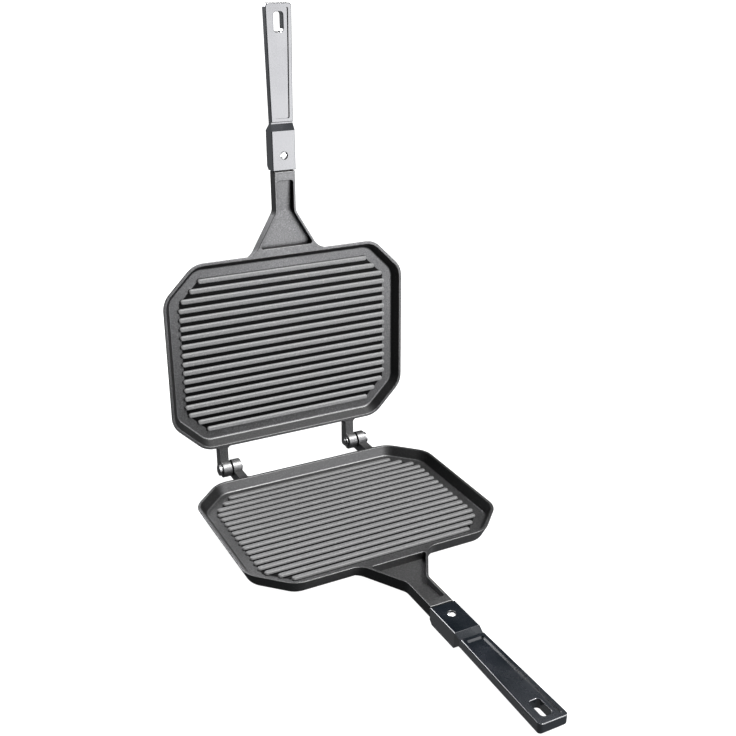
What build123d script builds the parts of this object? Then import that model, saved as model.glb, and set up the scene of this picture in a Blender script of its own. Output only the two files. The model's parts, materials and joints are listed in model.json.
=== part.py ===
from build123d import *
import os
from math import atan, degrees, sqrt

# Stovetop sandwich toaster: two equal cast plates with black handles, hinged at the back and standing open.
# Frame: +Z up, resting face of the lower plate at Z 0 and its centre at X 0 Y 0.
# Its handle points towards -Y and the hinge lies towards +Y.
# All sizes are in millimetres.

os.makedirs("parts", exist_ok=True)

# Plate
plate_width = 236.0
plate_depth = 178.0
corner_cut = 30.0
corner_radius = 22.0
half_height = 14.5
rim_gap = 0.3
rim_width = 3.0
rim_edge_radius = 0.6
cavity_depth = 8.5
wall_run = 4.6
wall_foot_radius = 2.0
base_inset = 7.0
base_edge_radius = 8.0

# Raised bars
bar_count = 18
bar_pitch = 8.3
bar_width = 5.2
bar_height = 2.5
bar_draft = 16.0
bar_edge_radius = 1.1
bar_side_margin = 15.2
bar_corner_margin = 16.2

# Tang
tang_thickness = 9.5
tang_root_half_width = 31.0
tang_neck_half_width = 9.8
tang_flare_length = 36.0
tang_length = 71.5
tang_blend_radius = 12.0
tang_bend_radius = 10.0
pocket_border = 2.2
pocket_root_gap = 4.5
pocket_land = 8.0
pocket_depth = 6.6
pocket_end_depth = 4.6
pocket_corner_radius = 2.0
tip_half_width = 7.0
tip_thickness = 5.6
tip_length = 28.0
tip_cover = 3.8

# Hinge
hinge_offset = 21.85
open_angle = 92.0
hinge_plane_x = 65.4
lug_width = 8.2
lug_radius = 7.6
heel_inset = 1.0
heel_radius = 2.4
lug_edge_radius = 0.6
arm_drop = 1.0
arm_thickness = 10.0
arm_root_spread = 2.4
dog_thickness = 1.6
dog_inner_radius = 3.6
dog_start_angle = -120.0
dog_clearance_angle = 0.4
side_gap = 0.3
pin_radius = 2.5
pin_end_play = 0.15
pin_running_fit = 0.06
pin_head_radius = 5.3
pin_head_length = 3.6
pin_head_dome = 1.2
pin_tail = 2.4
pin_tail_chamfer = 0.6
retainer_fit = 0.03
retainer_radius = 4.8
retainer_thickness = 1.0

# Handle
handle_fit = 0.15
collar_gap = 0.9
collar_length = 34.0
collar_half_width = 10.8
collar_boss_floor = 0.3
collar_boss_overhang = 3.0
collar_boss_chamfer = 3.6
collar_slope_length = 6.0
collar_slope_drop = 2.3
grip_length = 104.0
grip_drop = 1.2
grip_thickness = 9.0
grip_start_half_width = 10.0
grip_end_half_width = 11.9
grip_lip_gap = 1.2
grip_corner_radius = 3.0
grip_under_radius = 2.6
handle_edge_radius = 0.7
panel_border = 3.2
panel_depth = 1.3
panel_start_gap = 3.0
panel_end_gap = 3.4
hanging_hole_width = 8.6
hanging_hole_length = 16.0
hanging_hole_radius = 2.6
hanging_hole_end_gap = 7.0
hanging_hole_edge = 0.6

# Handle screw and nut
screw_from_collar_start = 13.0
screw_radius = 2.0
screw_clearance = 0.15
screw_head_radius = 3.1
screw_head_height = 2.0
screw_head_dome = 0.8
screw_recess_radius = 3.7
screw_recess_depth = 2.4
screw_slot_width = 1.0
screw_slot_depth = 0.7
nut_across_flats = 7.0
nut_height = 2.6
nut_pocket_gap = 0.15
nut_pocket_depth = 3.2
nut_edge = 0.3
screw_nut_overrun = 0.3
thread_fit = 0.03

# Places worked out from the sizes above
rim_top = half_height - rim_gap / 2
cavity_floor = rim_top - cavity_depth
plate_front = -plate_depth / 2
plate_back = plate_depth / 2
outer_draft = degrees(atan(base_inset / rim_top))
inner_draft = degrees(atan(wall_run / cavity_depth))
hinge_y = plate_back + hinge_offset
hinge_axis = Axis((0, hinge_y, half_height), (1, 0, 0))
tang_bottom = rim_top - tang_thickness
neck_y = plate_front - tang_flare_length
tang_end = plate_front - tang_length
pocket_start = plate_front - pocket_root_gap
pocket_end = tang_end + pocket_land
tip_top = rim_top - tip_cover
tip_bottom = tip_top - tip_thickness
tip_end = tang_end - tip_length
arm_top = rim_top - arm_drop
arm_bottom = arm_top - arm_thickness
heel_end = hinge_y + lug_radius - heel_inset
lug_face_x = (dog_thickness + side_gap) / 2
dog_end_angle = -open_angle / 2 - dog_clearance_angle
hinge_bore_radius = pin_radius + pin_running_fit
pin_head_x = hinge_plane_x + lug_face_x + lug_width + pin_end_play
retainer_x = hinge_plane_x - lug_face_x - lug_width - pin_end_play
collar_start = tang_end - collar_gap
collar_end = collar_start - collar_length
boss_end = collar_end - collar_boss_overhang
grip_face = rim_top - grip_drop
grip_bottom = grip_face - grip_thickness
slope_end = collar_end - collar_slope_length
grip_start = slope_end - grip_lip_gap
grip_end = collar_end - grip_length
panel_start = grip_start - panel_start_gap
panel_end = grip_end + panel_end_gap
hanging_hole_y = grip_end + hanging_hole_end_gap + hanging_hole_length / 2
screw_y = collar_start - screw_from_collar_start
screw_seat = rim_top - screw_recess_depth
nut_top = collar_boss_floor + nut_pocket_depth
screw_end = nut_top - nut_height - screw_nut_overrun
place_tolerance = 0.01


# Edges or vertices whose middle is at a height
def at_height(shapes, z):
    return shapes.filter_by(lambda s: abs(s.center().Z - z) < place_tolerance)


# Edges or vertices whose middle is between two places along Y
def between_y(shapes, y_low, y_high):
    return shapes.filter_by(lambda s: y_low - place_tolerance < s.center().Y < y_high + place_tolerance)


# Edges or vertices whose middle is within a distance from a place along X
def near_x(shapes, x, reach):
    return shapes.filter_by(lambda s: abs(s.center().X - x) < reach + place_tolerance)


# Octagonal outline of the plate, drawn in by an inset
def plate_outline(inset):
    with BuildSketch(mode=Mode.PRIVATE) as outline:
        Rectangle(plate_width, plate_depth)
        chamfer(outline.vertices(), corner_cut)
        fillet(outline.vertices(), corner_radius)
        offset(amount=-inset)
    return outline.sketch


# Place along Y of the middle of the back wall at a height
def back_wall_y(z):
    return plate_back - rim_width / 2 - base_inset * (rim_top - z) / rim_top


# Outline of the tang from above, drawn in by an inset
def tang_outline(inset):
    flare_spread = (tang_root_half_width - tang_neck_half_width) / tang_flare_length
    right_side = [
        (tang_root_half_width + base_inset * flare_spread, plate_front + base_inset),
        (tang_neck_half_width, neck_y),
        (tang_neck_half_width, tang_end),
    ]
    left_side = [(-x, y) for x, y in reversed(right_side)]
    with BuildSketch(mode=Mode.PRIVATE) as outline:
        with BuildLine():
            Polyline(*right_side, *left_side, close=True)
        make_face()
        fillet(between_y(outline.vertices(), neck_y, neck_y), tang_bend_radius)
        if inset > 0:
            offset(amount=-inset)
    return outline.sketch


# Half length of the raised bar at a distance from the plate's middle line
def bar_half_length(y):
    straight_limit = plate_width / 2 - bar_side_margin
    corner_limit = (plate_width + plate_depth) / 2 - corner_cut - bar_corner_margin * sqrt(2) - abs(y)
    return min(straight_limit, corner_limit)


# Half width of the grip at a place along it
def grip_half_width(y):
    share = (slope_end - y) / (slope_end - grip_end)
    return grip_start_half_width + share * (grip_end_half_width - grip_start_half_width)


# Turns a piece of the lower half over and swings it to the open stop, where it becomes one of the upper half
def to_upper(piece):
    turned = piece.rotate(Axis((0, 0, half_height), (0, 1, 0)), 180)
    return turned.rotate(hinge_axis, -open_angle)


# Pocket in the face of the tang: its floor is level in the flare and rises along the neck
with BuildPart() as tang_pocket:
    with BuildSketch(Plane.XY.offset(rim_top - pocket_depth)):
        add(tang_outline(pocket_border))
        with Locations((0, (pocket_start + pocket_end) / 2)):
            Rectangle(2 * tang_root_half_width, pocket_start - pocket_end, mode=Mode.INTERSECT)
        fillet(vertices().group_by(Axis.Y)[0], pocket_corner_radius)
        fillet(vertices().group_by(Axis.Y)[-1], pocket_corner_radius)
    extrude(amount=pocket_depth)
    with BuildSketch(Plane.YZ):
        with BuildLine():
            Polyline(
                (pocket_start, rim_top),
                (pocket_start, rim_top - pocket_depth),
                (neck_y, rim_top - pocket_depth),
                (pocket_end, rim_top - pocket_end_depth),
                (pocket_end, rim_top),
                close=True,
            )
        make_face()
    extrude(amount=tang_root_half_width, both=True, mode=Mode.INTERSECT)

# Hinge lug, with its joint face at X 0: round eye, arm with a heel under the eye and a spread root, stop dog
with BuildPart() as lug:
    with BuildSketch(Plane.YZ):
        with Locations((hinge_y, half_height)):
            Circle(lug_radius)
    extrude(amount=lug_width)
    fillet(near_x(lug.edges(), lug_width, 0), lug_edge_radius)
    with BuildSketch(Plane.YZ):
        with BuildLine():
            Polyline(
                (back_wall_y(arm_top), arm_top),
                (heel_end, arm_top),
                (heel_end, arm_bottom),
                (back_wall_y(arm_bottom), arm_bottom),
                close=True,
            )
        make_face()
        fillet(vertices().group_by(Axis.X)[-1].sort_by(Axis.Y)[0], heel_radius)
    extrude(amount=lug_width)
    with BuildSketch(Plane.XY.offset(arm_top)):
        wall_middle = back_wall_y(arm_top)
        wall_face = wall_middle + rim_width / 2
        with BuildLine():
            Polyline(
                (-arm_root_spread, wall_middle),
                (-arm_root_spread, wall_face),
                (0, wall_face + arm_root_spread),
                (lug_width, wall_face + arm_root_spread),
                (lug_width + arm_root_spread, wall_face),
                (lug_width + arm_root_spread, wall_middle),
                close=True,
            )
        make_face()
    wall_slope = Vector(0, -base_inset, -rim_top)
    extrude(amount=arm_thickness * wall_slope.length / rim_top, dir=wall_slope)
    with BuildSketch(Plane.YZ):
        with BuildLine():
            dog_span = dog_end_angle - dog_start_angle
            outer_arc = CenterArc((hinge_y, half_height), lug_radius, dog_start_angle, dog_span)
            inner_arc = CenterArc((hinge_y, half_height), dog_inner_radius, dog_start_angle, dog_span)
            Line(outer_arc @ 0, inner_arc @ 0)
            Line(outer_arc @ 1, inner_arc @ 1)
        make_face()
    extrude(amount=-dog_thickness)
    with BuildSketch(Plane.YZ):
        with Locations((hinge_y, half_height)):
            Circle(hinge_bore_radius)
    extrude(amount=lug_width, mode=Mode.SUBTRACT)

# Lower plate: one casting with tray, raised bars, tang and two hinge lugs
with BuildPart() as lower_plate:
    with BuildSketch():
        add(plate_outline(base_inset))
    extrude(amount=rim_top, taper=-outer_draft)
    fillet(lower_plate.faces().sort_by(Axis.Z)[0].edges(), base_edge_radius)

    # Tang, blended into the front wall
    with BuildSketch(Plane.XY.offset(tang_bottom)):
        add(tang_outline(0))
    extrude(amount=tang_thickness)
    wall_edges = between_y(lower_plate.edges(), plate_front, plate_front + base_inset)
    wall_edges = near_x(wall_edges, 0, tang_root_half_width + base_inset)
    fillet(at_height(wall_edges, (tang_bottom + rim_top) / 2), tang_blend_radius)
    add(tang_pocket.part, mode=Mode.SUBTRACT)

    # Tray
    with BuildSketch(Plane.XY.offset(rim_top)):
        add(plate_outline(rim_width))
    extrude(amount=-cavity_depth, taper=inner_draft, mode=Mode.SUBTRACT)
    fillet(at_height(lower_plate.edges(), cavity_floor), wall_foot_radius)
    fillet(lower_plate.faces().sort_by(Axis.Z)[-1].edges(), rim_edge_radius)

    # Tip that the handle is screwed to
    with BuildSketch(Plane.XY.offset(tip_bottom)):
        with Locations((0, (tang_end + tip_end) / 2)):
            Rectangle(2 * tip_half_width, tip_length)
    extrude(amount=tip_thickness)
    with Locations((0, screw_y, tip_top)):
        Hole(screw_radius + screw_clearance, tip_thickness)

    # Raised bars, the outer ones shortened to follow the cut corners
    with BuildSketch(Plane.XY.offset(cavity_floor)):
        for bar in range(bar_count):
            bar_y = (bar - (bar_count - 1) / 2) * bar_pitch
            with Locations((0, bar_y)):
                SlotOverall(2 * bar_half_length(bar_y), bar_width)
    extrude(amount=bar_height, taper=bar_draft)
    fillet(at_height(lower_plate.edges(), cavity_floor + bar_height), bar_edge_radius)

    # Hinge lugs, both on the +X side of their joint planes, so that a turned copy fits beside them
    with Locations((-hinge_plane_x + lug_face_x, 0, 0), (hinge_plane_x + lug_face_x, 0, 0)):
        add(lug.part)

lower_plate.part.label = "lower_plate"

# Handle of the lower plate: collar over the tang's tip, then the grip
with BuildPart() as lower_handle:
    with BuildSketch(Plane.YZ):
        with BuildLine():
            Polyline(
                (collar_start, rim_top),
                (collar_end, rim_top),
                (slope_end, rim_top - collar_slope_drop),
                (grip_start, rim_top - collar_slope_drop),
                (grip_start, grip_face),
                (grip_end, grip_face),
                (grip_end, grip_bottom),
                (boss_end, grip_bottom),
                (boss_end + grip_bottom - collar_boss_floor, collar_boss_floor),
                (collar_start - collar_boss_chamfer, collar_boss_floor),
                (collar_start, collar_boss_floor + collar_boss_chamfer),
                close=True,
            )
        make_face()
    extrude(amount=grip_end_half_width, both=True)
    with BuildSketch(Plane.XY.offset(collar_boss_floor)):
        right_side = [
            (collar_half_width, collar_start),
            (collar_half_width, collar_end),
            (grip_start_half_width, slope_end),
            (grip_end_half_width, grip_end),
        ]
        with BuildLine():
            Polyline(*right_side, *[(-x, y) for x, y in reversed(right_side)], close=True)
        make_face()
        fillet(vertices().group_by(Axis.Y)[0], grip_corner_radius)
    extrude(amount=rim_top - collar_boss_floor, mode=Mode.INTERSECT)

    # Rounded edges
    fillet(at_height(lower_handle.edges(), collar_boss_floor), handle_edge_radius)
    under_edges = at_height(lower_handle.edges(), grip_bottom)
    fillet(between_y(under_edges, grip_end, boss_end - handle_edge_radius), grip_under_radius)
    fillet(at_height(lower_handle.edges(), grip_face), handle_edge_radius)
    fillet(at_height(lower_handle.edges(), rim_top), handle_edge_radius)

    # Sunk panel along the grip, and the hanging hole through it
    with BuildSketch(Plane.XY.offset(grip_face)):
        right_side = [(grip_half_width(y) - panel_border, y) for y in (panel_start, panel_end)]
        with BuildLine():
            Polyline(*right_side, *[(-x, y) for x, y in reversed(right_side)], close=True)
        make_face()
        fillet(vertices(), grip_corner_radius - panel_border / 2)
    extrude(amount=-panel_depth, mode=Mode.SUBTRACT)
    with BuildSketch(Plane.XY.offset(grip_face)):
        with Locations((0, hanging_hole_y)):
            RectangleRounded(hanging_hole_width, hanging_hole_length, hanging_hole_radius)
    extrude(amount=-grip_thickness, mode=Mode.SUBTRACT)
    hole_edges = near_x(at_height(lower_handle.edges(), grip_face - panel_depth), 0, hanging_hole_width / 2)
    hole_ends = (hanging_hole_y - hanging_hole_length / 2, hanging_hole_y + hanging_hole_length / 2)
    fillet(between_y(hole_edges, *hole_ends), hanging_hole_edge)

    # Socket for the tang's tip, screw hole with a recess for the head, and hexagonal pocket for the nut
    with BuildSketch(Plane.XZ.offset(-collar_start)):
        with Locations((0, (tip_top + tip_bottom) / 2)):
            Rectangle(2 * (tip_half_width + handle_fit), tip_thickness + 2 * handle_fit)
    extrude(amount=collar_start - tip_end + handle_fit, mode=Mode.SUBTRACT)
    with Locations((0, screw_y, rim_top)):
        CounterBoreHole(
            radius=screw_radius + screw_clearance,
            counter_bore_radius=screw_recess_radius,
            counter_bore_depth=screw_recess_depth,
            depth=rim_top - nut_top,
        )
    with BuildSketch(Plane.XY.offset(collar_boss_floor)):
        with Locations((0, screw_y)):
            RegularPolygon(nut_across_flats / 2 + nut_pocket_gap, 6, major_radius=False)
    extrude(amount=nut_pocket_depth, mode=Mode.SUBTRACT)

lower_handle.part.label = "lower_handle"

# Screw through the collar and the tang's tip, with a domed head that lies below the face
with BuildPart() as lower_handle_screw:
    with BuildSketch(Plane.XZ.offset(-screw_y)):
        with BuildLine():
            head_edge = screw_seat + screw_head_height - screw_head_dome
            Polyline(
                (0, screw_seat + screw_head_height),
                (0, screw_end),
                (screw_radius, screw_end),
                (screw_radius, screw_seat),
                (screw_head_radius, screw_seat),
                (screw_head_radius, head_edge),
            )
            SagittaArc(
                (screw_head_radius, head_edge),
                (0, screw_seat + screw_head_height),
                -screw_head_dome / 4,
            )
        make_face()
    revolve(axis=Axis((0, screw_y, 0), (0, 0, 1)))
    with BuildSketch(Plane.XY.offset(screw_seat + screw_head_height)):
        with Locations((0, screw_y)):
            Rectangle(2 * screw_head_radius, screw_slot_width)
    extrude(amount=-screw_slot_depth, mode=Mode.SUBTRACT)

lower_handle_screw.part.label = "lower_handle_screw"

# Hexagonal nut in its pocket under the collar
with BuildPart() as lower_handle_nut:
    with BuildSketch(Plane.XY.offset(nut_top - nut_height)):
        with Locations((0, screw_y)):
            RegularPolygon(nut_across_flats / 2, 6, major_radius=False)
            Circle(screw_radius + thread_fit, mode=Mode.SUBTRACT)
    extrude(amount=nut_height)
    outer_edges = lower_handle_nut.edges().filter_by(GeomType.LINE)
    chamfer(outer_edges.group_by(Axis.Z)[0], nut_edge)

lower_handle_nut.part.label = "lower_handle_nut"

# Hinge pins, each with its domed head on the outer side, and the rings that hold their inner ends
for side_name, side in (("left", -1), ("right", 1)):
    with BuildPart() as hinge_pin:
        with BuildSketch(Plane.XY.offset(half_height)):
            head_end = pin_head_x + pin_head_length
            with BuildLine():
                Polyline(
                    (side * head_end, hinge_y),
                    (side * (retainer_x - pin_tail), hinge_y),
                    (side * (retainer_x - pin_tail), hinge_y + pin_radius - pin_tail_chamfer),
                    (side * (retainer_x - pin_tail + pin_tail_chamfer), hinge_y + pin_radius),
                    (side * pin_head_x, hinge_y + pin_radius),
                    (side * pin_head_x, hinge_y + pin_head_radius),
                    (side * (head_end - pin_head_dome), hinge_y + pin_head_radius),
                )
                RadiusArc(
                    (side * (head_end - pin_head_dome), hinge_y + pin_head_radius),
                    (side * head_end, hinge_y),
                    side * (pin_head_radius**2 + pin_head_dome**2) / (2 * pin_head_dome),
                )
            make_face()
        revolve(axis=hinge_axis)
    hinge_pin.part.label = "hinge_pin_" + side_name
    export_step(hinge_pin.part, "parts/hinge_pin_" + side_name + ".step")

    with BuildPart() as pin_retainer:
        with BuildSketch(Plane.YZ.offset(side * retainer_x)):
            with Locations((hinge_y, half_height)):
                Circle(retainer_radius)
                Circle(pin_radius + retainer_fit, mode=Mode.SUBTRACT)
        extrude(amount=-side * retainer_thickness)
    pin_retainer.part.label = "pin_retainer_" + side_name
    export_step(pin_retainer.part, "parts/pin_retainer_" + side_name + ".step")

# Each piece of the lower half is also a piece of the upper half
for lower in (lower_plate, lower_handle, lower_handle_screw, lower_handle_nut):
    upper = to_upper(lower.part)
    upper.label = lower.part.label.replace("lower", "upper")
    export_step(lower.part, "parts/" + lower.part.label + ".step")
    export_step(upper, "parts/" + upper.label + ".step")
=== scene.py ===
import json
import math

import bpy
from mathutils import Matrix, Vector

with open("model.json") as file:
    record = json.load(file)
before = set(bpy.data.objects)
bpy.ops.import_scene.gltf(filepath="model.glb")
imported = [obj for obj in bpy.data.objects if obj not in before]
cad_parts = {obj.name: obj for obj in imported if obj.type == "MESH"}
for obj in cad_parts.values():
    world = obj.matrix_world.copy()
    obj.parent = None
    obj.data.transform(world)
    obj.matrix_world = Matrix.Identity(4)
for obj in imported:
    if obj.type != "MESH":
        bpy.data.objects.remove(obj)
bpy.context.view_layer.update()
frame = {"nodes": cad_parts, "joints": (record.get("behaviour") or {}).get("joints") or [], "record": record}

# Camera, in metres and degrees, with its lens and sensor in millimetres
CAMERA_PLACE = Vector((-0.3567, -0.7078, 0.4808))
CAMERA_HEADING = 28.04
CAMERA_DOWN = 22.91
CAMERA_ROLL = 0.66
CAMERA_LENS = 50.77
SENSOR_WIDTH = 36.0

# Studio, in metres
FLOOR_HALF_SIZE = 15.0
BACKDROP_RADIUS = 14.0

# Lights: a soft sun from above, in front on the right, and cards that the surfaces reflect. One is low in
# front on the right for the upright faces, one behind on the left for the long edges, and one above on the
# right for the collar's slope.
WORLD_COLOR = (0.93, 0.96, 1.0)
WORLD_STRENGTH = 0.22
SUN_DIRECTION = (-0.28, 0.45, -0.85)
SUN_STRENGTH = 11.0
SUN_ANGLE = 12.0
FRONT_CARD = dict(place=(0.25, -0.38, 0.24), target=(0.0, 0.12, 0.27), width=0.36, height=0.46, power=4.6)
BACK_CARD = dict(place=(-0.28, 0.60, 0.65), target=(0.0, -0.1, 0.0), width=0.6, height=0.5, power=18.0)
TOP_CARD = dict(place=(0.37, 0.10, 0.72), target=(0.0, -0.2, 0.01), width=0.25, height=0.25, power=0.8)
CARD_COLOR = (0.97, 0.97, 1.0)
# A black flag behind on the right, seen only in reflections, keeps the top of the lower handle dark
FLAG = dict(place=(0.74, 0.90, 0.86), target=(0.0, -0.2, 0.0), size=1.7)
STUDIO_GLOW = 1.0

# Hinge and plates, in metres, with each plate's sizes as it lies open side up
HINGE_PLACE = frame["joints"][0]["pos_m"]
OPEN_ANGLE = math.radians(frame["joints"][0]["range_deg"][1])
OPEN_SIDE = {
    "lower_plate": (0, 0, 1),
    "upper_plate": (0, -math.sin(OPEN_ANGLE), math.cos(OPEN_ANGLE)),
}
TRAY_FLOOR = 0.00585
BARS_HALF_DEPTH = 0.0745
BARS_HALF_WIDTH = 0.1045
BARS_CORNER = 0.157
GROOVES_INSIDE = 0.003
GROOVE_HEIGHT = 0.0003
LUGS_START = 0.0925
MASK_EDGE = 0.001

# Tones of a plate's coating: the darkest, usual and lightest grain, or the usual one where the others follow.
# Walls take darker tones than flats as painted shade on the one coating.
SPECKLE_SCALE = 800.0
SPECKLE_STEPS = (0.3, 0.6, 0.75)
WALL_SHADE_TONES = (0.025, 0.034, 0.05)
FLAT_TONES = (0.06, 0.092, 0.14)
OUTSIDE_TONES = (0.018, 0.026, 0.045)
# Bars are painted lighter than the coat as a sheen of light on their tops, lighter on the upper plate for how
# it is lit.
BAR_SHEEN_TONE = {"lower_plate": 0.07, "upper_plate": 0.105}
# Grooves are painted near black as shade between the bars, darker on the upper plate for how it is lit.
GROOVE_SHADE_TONE = {"lower_plate": 0.008, "upper_plate": 0.005}

# How squarely a face looks to the open side, where the flats begin and are full, and the same for the
# outside. Faces short of the flats take the darker wall tone, a painted shade.
FLAT_FACING = (0.6, 0.9)
OUTSIDE_FACING = (-0.1, -0.4)


def add_camera():
    heading = math.radians(CAMERA_HEADING)
    down = math.radians(CAMERA_DOWN)
    roll = math.radians(CAMERA_ROLL)
    forward = Vector((
        math.sin(heading) * math.cos(down),
        math.cos(heading) * math.cos(down),
        -math.sin(down),
    ))
    level_right = Vector((math.cos(heading), -math.sin(heading), 0))
    level_up = level_right.cross(forward)
    right = level_right * math.cos(roll) + level_up * math.sin(roll)
    up = level_up * math.cos(roll) - level_right * math.sin(roll)
    camera = bpy.data.objects.new("camera", bpy.data.cameras.new("camera"))
    camera.matrix_world = Matrix((
        (right.x, up.x, -forward.x, CAMERA_PLACE.x),
        (right.y, up.y, -forward.y, CAMERA_PLACE.y),
        (right.z, up.z, -forward.z, CAMERA_PLACE.z),
        (0, 0, 0, 1),
    ))
    camera.data.sensor_fit = "HORIZONTAL"
    camera.data.sensor_width = SENSOR_WIDTH
    camera.data.lens = CAMERA_LENS
    camera.data.clip_start = 0.01
    camera.data.clip_end = 100.0
    bpy.context.scene.collection.objects.link(camera)
    bpy.context.scene.camera = camera


def add_card(name, place, target, width, height, power):
    data = bpy.data.lights.new(name, "AREA")
    data.shape = "RECTANGLE"
    data.size = width
    data.size_y = height
    data.energy = power
    data.color = CARD_COLOR
    light = bpy.data.objects.new(name, data)
    light.location = place
    light.rotation_euler = (Vector(target) - Vector(place)).to_track_quat("-Z", "Y").to_euler()
    light.visible_camera = False
    bpy.context.scene.collection.objects.link(light)


def add_sun():
    data = bpy.data.lights.new("sun", "SUN")
    data.energy = SUN_STRENGTH
    data.angle = math.radians(SUN_ANGLE)
    light = bpy.data.objects.new("sun", data)
    light.rotation_euler = Vector(SUN_DIRECTION).to_track_quat("-Z", "Y").to_euler()
    bpy.context.scene.collection.objects.link(light)


def add_world():
    world = bpy.data.worlds.new("studio")
    world.use_nodes = True
    background = world.node_tree.nodes["Background"]
    background.inputs["Color"].default_value = (*WORLD_COLOR, 1)
    background.inputs["Strength"].default_value = WORLD_STRENGTH
    bpy.context.scene.world = world


class Shader:
    """A node material with a few short ways to add and join its nodes."""

    def __init__(self, name):
        self.material = bpy.data.materials.new(name)
        self.material.use_nodes = True
        self.tree = self.material.node_tree
        self.surface = self.tree.nodes["Principled BSDF"]
        coordinates = self.tree.nodes.new("ShaderNodeTexCoord")
        self.place = coordinates.outputs["Object"]
        self.normal = coordinates.outputs["Normal"]

    def set(self, **values):
        for name, value in values.items():
            self.surface.inputs[name.replace("_", " ")].default_value = value

    def noise(self, scale, detail=3.0, roughness=0.5):
        node = self.tree.nodes.new("ShaderNodeTexNoise")
        node.inputs["Scale"].default_value = scale
        node.inputs["Detail"].default_value = detail
        node.inputs["Roughness"].default_value = roughness
        self.tree.links.new(self.place, node.inputs["Vector"])
        return node.outputs["Fac"]

    def ramp(self, value, *stops):
        """Goes through the stops, each a position with a grey tone or a colour."""
        node = self.tree.nodes.new("ShaderNodeValToRGB")
        while len(node.color_ramp.elements) < len(stops):
            node.color_ramp.elements.new(0.5)
        for element, (position, color) in zip(node.color_ramp.elements, stops):
            element.position = position
            element.color = (*color, 1) if isinstance(color, tuple) else (color, color, color, 1)
        self.tree.links.new(value, node.inputs["Fac"])
        return node.outputs["Color"]

    def bump(self, height, distance, strength):
        node = self.tree.nodes.new("ShaderNodeBump")
        node.inputs["Strength"].default_value = strength
        node.inputs["Distance"].default_value = distance
        self.tree.links.new(height, node.inputs["Height"])
        return node.outputs["Normal"]

    def link(self, output, name):
        self.tree.links.new(output, self.surface.inputs[name])

    def split(self, vector):
        node = self.tree.nodes.new("ShaderNodeSeparateXYZ")
        self.tree.links.new(vector, node.inputs["Vector"])
        return node.outputs["X"], node.outputs["Y"], node.outputs["Z"]

    def math(self, operation, *values):
        node = self.tree.nodes.new("ShaderNodeMath")
        node.operation = operation
        for socket, value in zip(node.inputs, values):
            if isinstance(value, (int, float)):
                socket.default_value = value
            else:
                self.tree.links.new(value, socket)
        return node.outputs["Value"]

    def fade(self, value, start, end):
        """Goes smoothly from 0 at start to 1 at end."""
        node = self.tree.nodes.new("ShaderNodeMapRange")
        node.interpolation_type = "SMOOTHSTEP"
        node.inputs["From Min"].default_value = start
        node.inputs["From Max"].default_value = end
        self.tree.links.new(value, node.inputs["Value"])
        return node.outputs["Result"]

    def mix(self, share, first, second):
        """Goes from the first to the second as the share goes from 0 to 1."""
        node = self.tree.nodes.new("ShaderNodeMix")
        node.data_type = "RGBA"
        self.tree.links.new(share, node.inputs["Factor"])
        self.tree.links.new(first, node.inputs["A"])
        self.tree.links.new(second, node.inputs["B"])
        return node.outputs["Result"]


def facing(shader, direction):
    """How squarely the surface faces a direction: 1 if it does, 0 if side on, -1 if it faces away."""
    node = shader.tree.nodes.new("ShaderNodeVectorMath")
    node.operation = "DOT_PRODUCT"
    shader.tree.links.new(shader.normal, node.inputs[0])
    node.inputs[1].default_value = direction
    return node.outputs["Value"]


def casting_place(shader, plate):
    """Place on a casting as it lies open side up, though the upper one stands turned over on the hinge."""
    if plate == "lower_plate":
        return shader.split(shader.place)
    node = shader.tree.nodes.new("ShaderNodeVectorRotate")
    node.rotation_type = "X_AXIS"
    node.inputs["Center"].default_value = HINGE_PLACE
    node.inputs["Angle"].default_value = OPEN_ANGLE
    shader.tree.links.new(shader.place, node.inputs["Vector"])
    x, y, z = shader.split(node.outputs["Vector"])
    return x, y, shader.math("SUBTRACT", 2 * HINGE_PLACE[2], z)


def multiply(shader, *masks):
    product = masks[0]
    for mask in masks[1:]:
        product = shader.math("MULTIPLY", product, mask)
    return product


def bars_field(shader, place, inset):
    """1 inside the outline of all the raised bars, drawn in by an inset, above the tray's floor."""
    x, y, z = place
    across = shader.math("ABSOLUTE", x)
    along = shader.math("ABSOLUTE", y)
    limits = (
        (along, BARS_HALF_DEPTH - inset),
        (across, BARS_HALF_WIDTH - inset),
        (shader.math("ADD", across, along), BARS_CORNER - inset),
    )
    inside = [shader.fade(value, limit, limit - MASK_EDGE) for value, limit in limits]
    return multiply(shader, shader.math("GREATER_THAN", z, TRAY_FLOOR - GROOVE_HEIGHT), *inside)


def tray_masks(shader, place):
    """Shares of the raised bars, and of the grooves between them."""
    raised = shader.fade(place[2], TRAY_FLOOR + GROOVE_HEIGHT, TRAY_FLOOR + 4 * GROOVE_HEIGHT)
    bars = multiply(shader, bars_field(shader, place, 0), raised)
    sunk = shader.math("SUBTRACT", 1.0, raised)
    return bars, multiply(shader, bars_field(shader, place, GROOVES_INSIDE), sunk)


def grain(shader, speckle, tones):
    return shader.ramp(speckle, *zip(SPECKLE_STEPS, tones))


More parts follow.
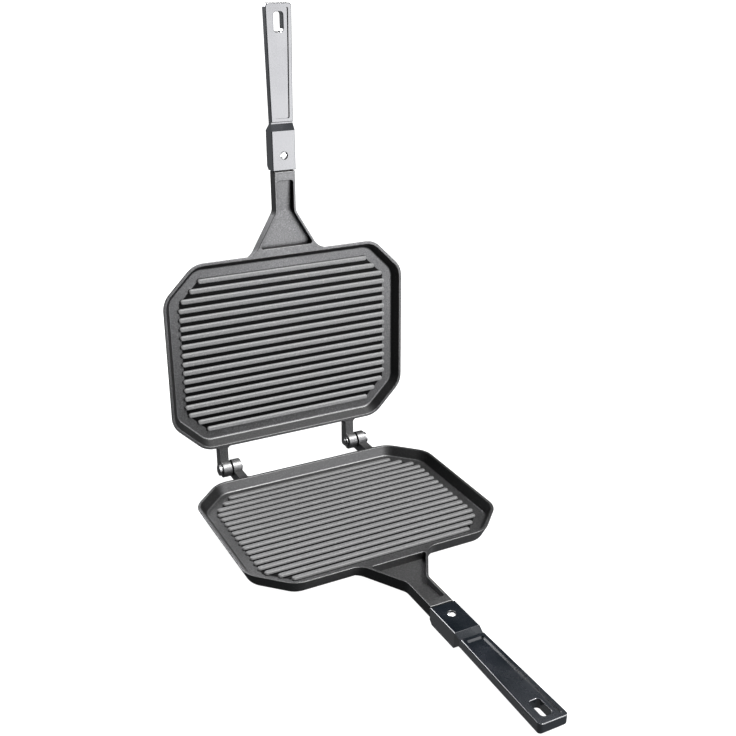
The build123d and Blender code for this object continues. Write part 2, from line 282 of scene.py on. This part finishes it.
def plate_material(plate):
    """Grey bars painted lighter than the coat as a sheen of light, grooves painted near black as shade, walls
    painted darker than flats as shade, and a dull outside.
    """
    shader = Shader(plate + "_coating")
    place = casting_place(shader, plate)
    bars, grooves = tray_masks(shader, place)
    squareness = facing(shader, OPEN_SIDE[plate])
    outside = shader.fade(squareness, *OUTSIDE_FACING)
    # The lugs count as flats on every face, so their sides get the lighter tone: painted light.
    lugs = shader.fade(place[1], LUGS_START, LUGS_START + MASK_EDGE)
    flats = shader.math("MAXIMUM", shader.fade(squareness, *FLAT_FACING), lugs)

    speckle = shader.noise(SPECKLE_SCALE, detail=2.0, roughness=0.7)
    # Walls painted darker than flats by how squarely they face the open side: painted shade on one coating.
    coat = shader.mix(flats, grain(shader, speckle, WALL_SHADE_TONES), grain(shader, speckle, FLAT_TONES))
    # Grooves painted near black: painted shade between the bars.
    groove = shader.ramp(speckle, (0.3, 0.8 * GROOVE_SHADE_TONE[plate]), (0.7, 1.2 * GROOVE_SHADE_TONE[plate]))
    # Bars painted lighter than the coat: a painted sheen for light on their tops.
    bar_sheen = grain(shader, speckle, [share * BAR_SHEEN_TONE[plate] for share in (0.75, 1.0, 1.5)])
    tray = shader.mix(bars, shader.mix(grooves, coat, groove), bar_sheen)
    shader.link(shader.mix(outside, tray, grain(shader, speckle, OUTSIDE_TONES)), "Base Color")

    cloud = shader.noise(18.0, detail=4.0)
    smooth = shader.ramp(cloud, (0.3, 0.44), (0.7, 0.52))
    dull = shader.ramp(cloud, (0.3, 0.66), (0.7, 0.76))
    shader.link(shader.mix(outside, smooth, dull), "Roughness")

    shader.set(Specular_IOR_Level=0.2)
    shader.link(shader.math("SUBTRACT", 1.0, shader.math("MAXIMUM", bars, outside)), "Metallic")
    shader.link(shader.bump(speckle, 0.00006, 0.6), "Normal")
    return shader.material


def handle_material():
    shader = Shader("handle_plastic")
    shader.set(Coat_Weight=1.0, Coat_Roughness=0.08)
    blacks = shader.ramp(shader.noise(30.0), (0.3, (0.002, 0.003, 0.004)), (0.7, (0.004, 0.005, 0.007)))
    shader.link(blacks, "Base Color")
    shader.link(shader.ramp(shader.noise(60.0, detail=5.0), (0.3, 0.20), (0.7, 0.30)), "Roughness")
    shader.link(shader.bump(shader.noise(90.0), 0.0001, 0.1), "Normal")
    return shader.material


def bright_steel_material():
    shader = Shader("bright_steel")
    shader.set(Metallic=1.0)
    shader.link(shader.ramp(shader.noise(400.0), (0.3, 0.72), (0.7, 0.85)), "Base Color")
    shader.link(shader.ramp(shader.noise(700.0), (0.3, 0.36), (0.7, 0.48)), "Roughness")
    return shader.material


def dark_steel_material():
    shader = Shader("dark_steel")
    shader.set(Metallic=1.0)
    shader.link(shader.ramp(shader.noise(500.0), (0.3, 0.10), (0.7, 0.17)), "Base Color")
    shader.link(shader.ramp(shader.noise(900.0), (0.3, 0.25), (0.7, 0.42)), "Roughness")
    return shader.material


def studio_material():
    shader = Shader("studio_white")
    shader.set(Roughness=0.6, Emission_Color=(1, 1, 1, 1), Emission_Strength=STUDIO_GLOW)
    shader.link(shader.ramp(shader.noise(0.8), (0.3, 0.10), (0.7, 0.12)), "Base Color")
    return shader.material


def flag_material():
    shader = Shader("flag_black")
    shader.set(Roughness=1.0, Specular_IOR_Level=0.0)
    shader.link(shader.ramp(shader.noise(2.0), (0.3, 0.001), (0.7, 0.002)), "Base Color")
    return shader.material


def add_plane(name, half, material):
    mesh = bpy.data.meshes.new(name)
    corners = [(-half, -half, 0), (half, -half, 0), (half, half, 0), (-half, half, 0)]
    mesh.from_pydata(corners, [], [(0, 1, 2, 3)])
    mesh.materials.append(material)
    plane = bpy.data.objects.new(name, mesh)
    bpy.context.scene.collection.objects.link(plane)
    return plane


def add_backdrop(material):
    """White sphere all round, which stops no light."""
    bpy.ops.mesh.primitive_uv_sphere_add(radius=BACKDROP_RADIUS)
    backdrop = bpy.context.object
    backdrop.data.materials.append(material)
    backdrop.visible_shadow = False
    return backdrop


def add_flag():
    flag = add_plane("flag", FLAG["size"] / 2, flag_material())
    flag.location = FLAG["place"]
    flag.rotation_euler = (Vector(FLAG["target"]) - flag.location).to_track_quat("-Z", "Y").to_euler()
    flag.visible_camera = False
    flag.visible_diffuse = False
    flag.visible_shadow = False


def add_studio():
    """White floor and backdrop, which light nothing and aren't reflected, and the flag."""
    white = studio_material()
    for surface in (add_plane("floor", FLOOR_HALF_SIZE, white), add_backdrop(white)):
        surface.visible_diffuse = False
        surface.visible_glossy = False
    add_flag()


def dress_nodes():
    """Gives each node its slot's material, and each plate its own."""
    plates = {plate: plate_material(plate) for plate in OPEN_SIDE}
    slots = {
        "handle_plastic": handle_material(),
        "bright_steel": bright_steel_material(),
        "dark_steel": dark_steel_material(),
    }
    for part in frame["record"]["subparts"]:
        name = part["node"]
        materials = frame["nodes"][name].data.materials
        materials.clear()
        materials.append(plates[name] if name in plates else slots[part["material_slot"]])


bpy.context.scene.view_settings.view_transform = "Standard"
add_camera()
add_world()
add_sun()
add_card("front_card", **FRONT_CARD)
add_card("back_card", **BACK_CARD)
add_card("top_card", **TOP_CARD)
add_studio()
dress_nodes()
